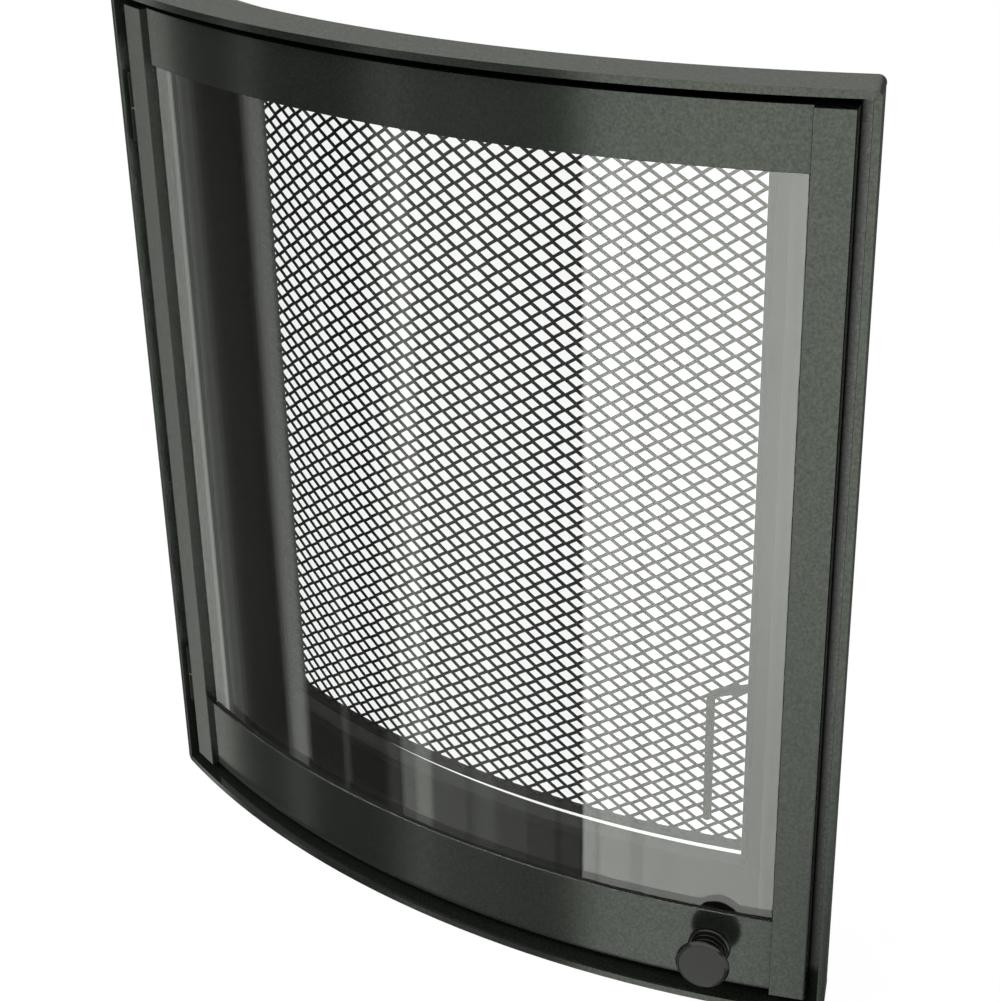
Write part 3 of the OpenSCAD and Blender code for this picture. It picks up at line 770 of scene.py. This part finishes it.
def make_rope():
    path = rope_route()
    pitches = round(len(path) * ROPE_SPACING / ROPE_PITCH)

    def braided(i, turn):
        along = 2 * math.pi * pitches * i / len(path)
        weave = math.sin(ROPE_STRANDS * turn + along) * math.sin(ROPE_STRANDS * turn - along)
        return ROPE_R - ROPE_RELIEF * (0.5 - 0.5 * weave)

    bm = bmesh.new()
    tube(bm, path, braided, ROPE_SIDES, closed=True)
    new_piece("rope_loop", bm, MATERIALS["seal_fibre"], "leaf",
              ["rope_top", "rope_bottom", "rope_left", "rope_right"], smooth=180)


make_rope()


# ---- studio: floor ----

WHITE = (1.0, 1.0, 1.0)
FLOOR_Z = cad_box[0].z - 0.5 * MM
FLOOR_HALF = 12.0
FLOOR_COLOR = (0.95, 0.95, 0.95, 1.0)
FLOOR_GLOW = 1.05
FLOOR_GLOW_SHARE = 0.90         # the rest takes the light, and so the shadow


def seen_directly(nodes, path):
    """1 for rays from the camera, straight or through the glass."""
    return nodes.math("MAXIMUM", path["Is Camera Ray"], path["Is Transmission Ray"])


def after_gloss(nodes, path):
    """1 for rays that a glossy surface has sent on."""
    return nodes.math("GREATER_THAN", path["Glossy Depth"], 0.5)


def floor_material():
    """White to the camera apart from the shadow, and clear to rays that come off gloss."""
    made = bpy.data.materials.new("floor")
    made.use_nodes = True
    nodes = NodeTree(made.node_tree)
    nodes.tree.nodes.clear()
    path = nodes.node("ShaderNodeLightPath").outputs
    seen = seen_directly(nodes, path)
    glow = nodes.light("ShaderNodeEmission", WHITE, nodes.math("MULTIPLY", seen, FLOOR_GLOW))
    pale = nodes.node("ShaderNodeBsdfDiffuse")
    pale.inputs["Color"].default_value = FLOOR_COLOR
    clear = nodes.node("ShaderNodeBsdfTransparent")
    share = nodes.math("MULTIPLY", seen, FLOOR_GLOW_SHARE)
    solid = nodes.mix_shaders(share, pale.outputs["BSDF"], glow)
    either = nodes.mix_shaders(after_gloss(nodes, path), solid, clear.outputs["BSDF"])
    out = nodes.node("ShaderNodeOutputMaterial")
    nodes.put(out.inputs["Surface"], either)
    return made


def make_floor():
    bm = bmesh.new()
    bm.faces.new([bm.verts.new((x * FLOOR_HALF, y * FLOOR_HALF, FLOOR_Z))
                  for x, y in ((-1, -1), (1, -1), (1, 1), (-1, 1))])
    mesh = bpy.data.meshes.new("floor")
    bm.to_mesh(mesh)
    bm.free()
    mesh.materials.append(floor_material())
    floor = bpy.data.objects.new("floor", mesh)
    SCENE.collection.objects.link(floor)
    floor.visible_glossy = False


# ---- studio: world ----

# What gloss sees of the room, by compass direction in degrees: 0 is straight ahead of the door,
# minus to the left. Each light has its left and right edge, its brightness and the softness of its
# edges. Where lights overlap they add up.
ROOM_DARK = 0.075
WINDOW_EDGE = -14.6
STUDIO_LIGHTS = [
    (-87.2, -80.6, 1.04, 0.6),  # tall strip light at the far left
    (-81.5, -80.4, 0.72, 0.4),  # its bright edge
    (-80.4, -79.4, 0.40, 0.6),
    (-79.4, -76.4, 0.20, 0.6),
    (-76.4, -74.5, 0.04, 1.0),
    (-65.9, -61.8, 0.38, 0.6),  # narrow strip light
    (-64.8, -61.8, 0.34, 1.0),
    (-54.4, -53.5, 0.25, 0.4),
    (-46.2, -43.6, 0.17, 1.4),
    (-43.6, -38.3, 0.73, 0.4),  # strip light
    (-41.2, -38.8, 0.51, 0.5),
    (-38.3, -28.2, 0.50, 0.8),  # screen beside the window
    (-32.8, -31.8, -0.14, 0.8),
    (-30.6, -28.2, 0.08, 0.8),
    (-28.2, -23.2, 0.39, 0.5),
    (-23.2, -18.6, 0.28, 1.0),
    (-18.2, -14.9, 0.23, 0.8),
    (WINDOW_EDGE, 88, 2.92, 0.25),  # large window, from its sharp edge round to the right
    (-14.2, -12.0, -0.20, 0.5),     # its bars and folds
    (-12.8, -12.2, -0.40, 0.3),
    (-7.7, -5.8, -0.38, 0.7),
    (-3.4, -1.8, -0.14, 0.8),
    (11.1, 11.9, -0.22, 0.4),
    (87, 118, 1.5, 3.0),            # pale wall on the right
]

# Heights are those of a ray's direction: 0 is level, 1 straight up
WINDOW_RISE = 0.30              # the upper part of the window is this much brighter
WINDOW_RISE_Z = (-0.57, -0.42)
WINDOW_RISE_SOFT = 0.3
WALL_SHADE = -0.95              # a low wall covers the foot of the window on the right
WALL_Z = (-0.64, -0.53)
WALL_FROM = (8, 24)
CEILING = 0.60
CEILING_Z = (0.05, 0.35)
CEILING_LIGHT = 4.5             # straight above
CEILING_LIGHT_Z = (0.46, 0.60)
STUDIO_TINT = (0.97, 1.0, 0.93)
SOFT_LIGHT = 0.496              # what matt surfaces get from all sides


def studio_level(nodes):
    """Brightness of the room in the direction of a ray."""
    coords = nodes.node("ShaderNodeTexCoord")
    way = nodes.split(coords.outputs["Generated"])
    height = way["Z"]
    ahead = nodes.math("MULTIPLY", way["Y"], -1.0)
    bearing = nodes.math("MULTIPLY", nodes.math("ARCTAN2", way["X"], ahead), math.degrees(1))

    def edge(place, soft, low, high):
        return nodes.ramp(bearing, place - soft / 2, place + soft / 2, low, high)

    def smooth(source, span, low, high):
        return nodes.ramp(source, *span, low, high, "SMOOTHSTEP")

    total = ROOM_DARK
    for left, right, level, soft in STUDIO_LIGHTS:
        total = nodes.math("MULTIPLY_ADD", edge(left, soft, 0.0, level),
                           edge(right, soft, 1.0, 0.0), total)
    rise = nodes.math("MULTIPLY", smooth(height, WINDOW_RISE_Z, 0.0, WINDOW_RISE),
                      edge(WINDOW_EDGE, WINDOW_RISE_SOFT, 0.0, 1.0))
    wall = nodes.math("MULTIPLY", smooth(height, WALL_Z, WALL_SHADE, 0.0),
                      smooth(bearing, WALL_FROM, 0.0, 1.0))
    total = nodes.math("MULTIPLY_ADD", total, nodes.math("ADD", rise, wall), total)
    room = nodes.node("ShaderNodeMix")
    nodes.put(room.inputs["Factor"], smooth(height, CEILING_Z, 0.0, 1.0))
    nodes.put(room.inputs["A"], total)
    nodes.put(room.inputs["B"], smooth(height, CEILING_LIGHT_Z, CEILING, CEILING_LIGHT))
    return room.outputs["Result"]


def make_world():
    """White to the camera, soft light for matt surfaces, and the room for gloss."""
    world = bpy.data.worlds.new("studio")
    SCENE.world = world
    world.use_nodes = True
    world.cycles.sampling_method = "NONE"
    nodes = NodeTree(world.node_tree)
    nodes.tree.nodes.clear()
    path = nodes.node("ShaderNodeLightPath").outputs
    room = nodes.light("ShaderNodeBackground", STUDIO_TINT, studio_level(nodes))
    white = nodes.light("ShaderNodeBackground", WHITE, 1.0)
    soft = nodes.light("ShaderNodeBackground", WHITE, SOFT_LIGHT)
    plain = nodes.mix_shaders(seen_directly(nodes, path), soft, white)
    lit = nodes.mix_shaders(path["Is Diffuse Ray"], room, soft)
    out = nodes.node("ShaderNodeOutputWorld")
    nodes.put(out.inputs["Surface"], nodes.mix_shaders(after_gloss(nodes, path), plain, lit))


# ---- studio: lamps and camera ----

def make_lamp(name, place, size, power):
    """Square lamp that shines at the door and doesn't show in gloss."""
    data = bpy.data.lights.new(name, "AREA")
    data.shape = "SQUARE"
    data.size = size
    data.energy = power
    lamp = bpy.data.objects.new(name, data)
    lamp.location = place
    lamp.rotation_mode = "QUATERNION"
    lamp.rotation_quaternion = (-Vector(place)).to_track_quat("-Z", "Y")
    lamp.visible_glossy = False
    SCENE.collection.objects.link(lamp)


# The photograph's view, solved from the corners of the door
CAMERA_PLACE = (0.745170, -1.067038, 0.594555)
CAMERA_YAW = 0.62322            # to the left, in radians
CAMERA_PITCH = 0.44972          # downwards
CAMERA_ROLL = -0.02148
CAMERA_FOCAL_PX = 1964.839
FRAME_PX = 1001
SENSOR_WIDTH = 36.0


def make_camera():
    ahead = Vector((-math.sin(CAMERA_YAW) * math.cos(CAMERA_PITCH),
                    math.cos(CAMERA_YAW) * math.cos(CAMERA_PITCH), -math.sin(CAMERA_PITCH)))
    level = Vector((math.cos(CAMERA_YAW), math.sin(CAMERA_YAW), 0))
    upright = level.cross(ahead)
    right = level * math.cos(CAMERA_ROLL) + upright * math.sin(CAMERA_ROLL)
    up = upright * math.cos(CAMERA_ROLL) - level * math.sin(CAMERA_ROLL)
    data = bpy.data.cameras.new("camera")
    data.sensor_width = SENSOR_WIDTH
    data.lens = CAMERA_FOCAL_PX / FRAME_PX * SENSOR_WIDTH
    data.clip_start = 0.05
    data.clip_end = 60.0
    camera = bpy.data.objects.new("camera", data)
    turn = Matrix((right, up, -ahead)).transposed().to_4x4()
    camera.matrix_world = Matrix.Translation(CAMERA_PLACE) @ turn
    SCENE.collection.objects.link(camera)
    SCENE.camera = camera


make_floor()
make_world()
make_lamp("key", (-1.6, -2.2, 2.6), size=1.6, power=45)
make_lamp("fill", (2.2, -1.8, 1.8), size=2.0, power=25)
make_camera()

SCENE.view_settings.view_transform = "Standard"
